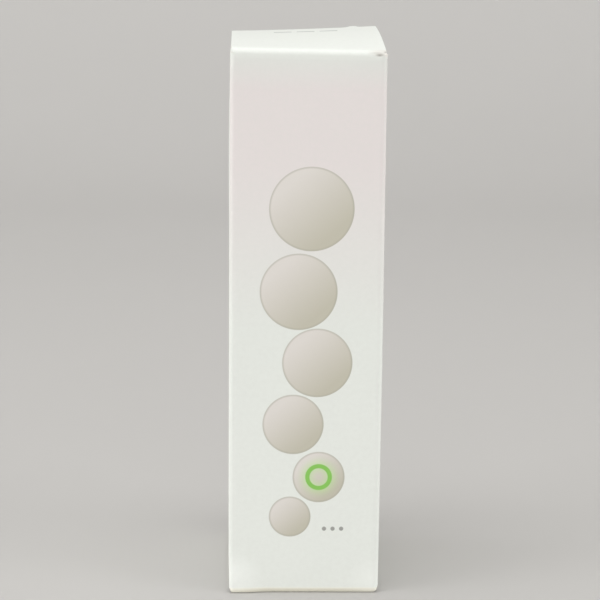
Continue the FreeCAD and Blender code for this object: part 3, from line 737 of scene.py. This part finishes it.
lid_x, lid_s, lid_y, lid_z = closure_patch(LID_RADIUS, (RISE_LEFT, RISE_RIGHT), (CROWN_LEFT, CROWN_RIGHT))
lid_x = lid_x - LID_ASIDE - LID_SKEW * (lid_y + HALF_DEPTH) / (2 * HALF_DEPTH)
lid_patch = patch(lid_x, LID_CREASE + lid_s, (lid_x, lid_y, HEIGHT + lid_z))
top_closure = board_piece("top_closure", [lid_patch], FINISHES)
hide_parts("top_lid")
hinge = Vector((0, -HALF_DEPTH, LID_CREASE)) * MM
hinge + Vector((0, 1.15, 1.15)) * LID_RADIUS * MM
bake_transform(top_closure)

# The bottom closure is the same strip, turned over about the depth axis.
base_x, base_s, base_y, base_z = closure_patch(BASE_RADIUS, (0, 0), (CROWN_FLAT, CROWN_FLAT))
base_patch = patch(-base_x, BASE_CREASE - base_s, (-base_x, base_y, -base_z))
bottom_closure = board_piece("bottom_closure", [base_patch], FINISHES)
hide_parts("bottom_lid")
hinge = Vector((0, -HALF_DEPTH, BASE_CREASE)) * MM
hinge + Vector((0, 1.15, -1.15)) * BASE_RADIUS * MM
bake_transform(bottom_closure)

# The studio, in metres: a pale sheet of paper that runs flat under the carton and curves up behind it, a
# soft lamp overhead and one in front at each side, and an even white light all round.
SWEEP_FRONT, SWEEP_BEND, SWEEP_RADIUS, SWEEP_RISE, SWEEP_HALF = -2.0, 0.5, 0.5, 2.2, 2.5
sweep_legs = ((SWEEP_BEND - SWEEP_FRONT, 0), (SWEEP_RADIUS * quarter, quarter), (SWEEP_RISE, 0))
sweep_s = along(sweep_legs, [np.linspace(0, 1, count) for count in (20, 25, 10)])
sweep_x = np.linspace(-SWEEP_HALF, SWEEP_HALF, 9)[:, None]
sweep_places = np.stack(np.broadcast_arrays(sweep_x, *folded((SWEEP_FRONT, 0), 0, sweep_legs, sweep_s)), -1)
sweep_mesh = bpy.data.meshes.new("sweep")
sweep_mesh.from_pydata(sweep_places.reshape(-1, 3), [], grid_faces(*sweep_places.shape[:2]))
sweep_mesh.shade_smooth()
sweep = in_scene("sweep", sweep_mesh)
PAPER_DARK, PAPER_PALE = colour(188, 186, 183), colour(194, 192, 189)
paper = Finish("sweep_paper", Roughness=0.9)
flecks = paper.noise(paper.node("TexCoord", {}, {}, output="Object"), 3.0, detail=3)
paper.use("Base Color", paper.mix(flecks, PAPER_DARK, PAPER_PALE))
sweep_mesh.materials.append(paper.material)


def softbox(name, place, size, power):
    """A square area light at a place, turned to the middle of the carton."""
    light = bpy.data.lights.new(name, "AREA")
    light.size, light.energy = size, power
    lamp = in_scene(name, light)
    lamp.location = place
    target = Vector((0, 0, HEIGHT / 2 * MM))
    lamp.rotation_euler = (target - Vector(place)).to_track_quat("-Z", "Y").to_euler()


softbox("overhead", (-0.1, -0.05, 1.1), size=0.8, power=6.7)
softbox("front_left", (-1.82, -0.83, 0.15), size=1.0, power=32.3)
softbox("front_right", (1.82, -0.83, 0.15), size=1.0, power=28.4)
world = bpy.data.worlds.new("studio")
world.use_nodes = True
background = world.node_tree.nodes["Background"].inputs
background["Color"].default_value = (1.0, 1.0, 1.0, 1.0)
background["Strength"].default_value = 0.5
bpy.context.scene.world = world

# The camera, at the photo's angle: its place and lens in millimetres, its turns in degrees.
CAMERA_PLACE, CAMERA_LENS, SENSOR_WIDTH = (-12.41, -531.7, 177.5), 137.95, 36
CAMERA_YAW, CAMERA_PITCH, CAMERA_ROLL = 1.23, 11.961, 0.54
CLIP_NEAR, CLIP_FAR = 0.01, 20
camera_data = bpy.data.cameras.new("camera")
camera_data.lens, camera_data.sensor_width = CAMERA_LENS, SENSOR_WIDTH
camera_data.clip_start, camera_data.clip_end = CLIP_NEAR, CLIP_FAR
camera = in_scene("camera", camera_data)
camera.matrix_world = (
    Matrix.Translation(Vector(CAMERA_PLACE) * MM)
    @ Matrix.Rotation(math.radians(-CAMERA_YAW), 4, "Z")
    @ Matrix.Rotation(math.radians(90 - CAMERA_PITCH), 4, "X")
    @ Matrix.Rotation(math.radians(CAMERA_ROLL), 4, "Z")
)
bpy.context.scene.camera = camera
bpy.context.scene.view_settings.view_transform = "Standard"
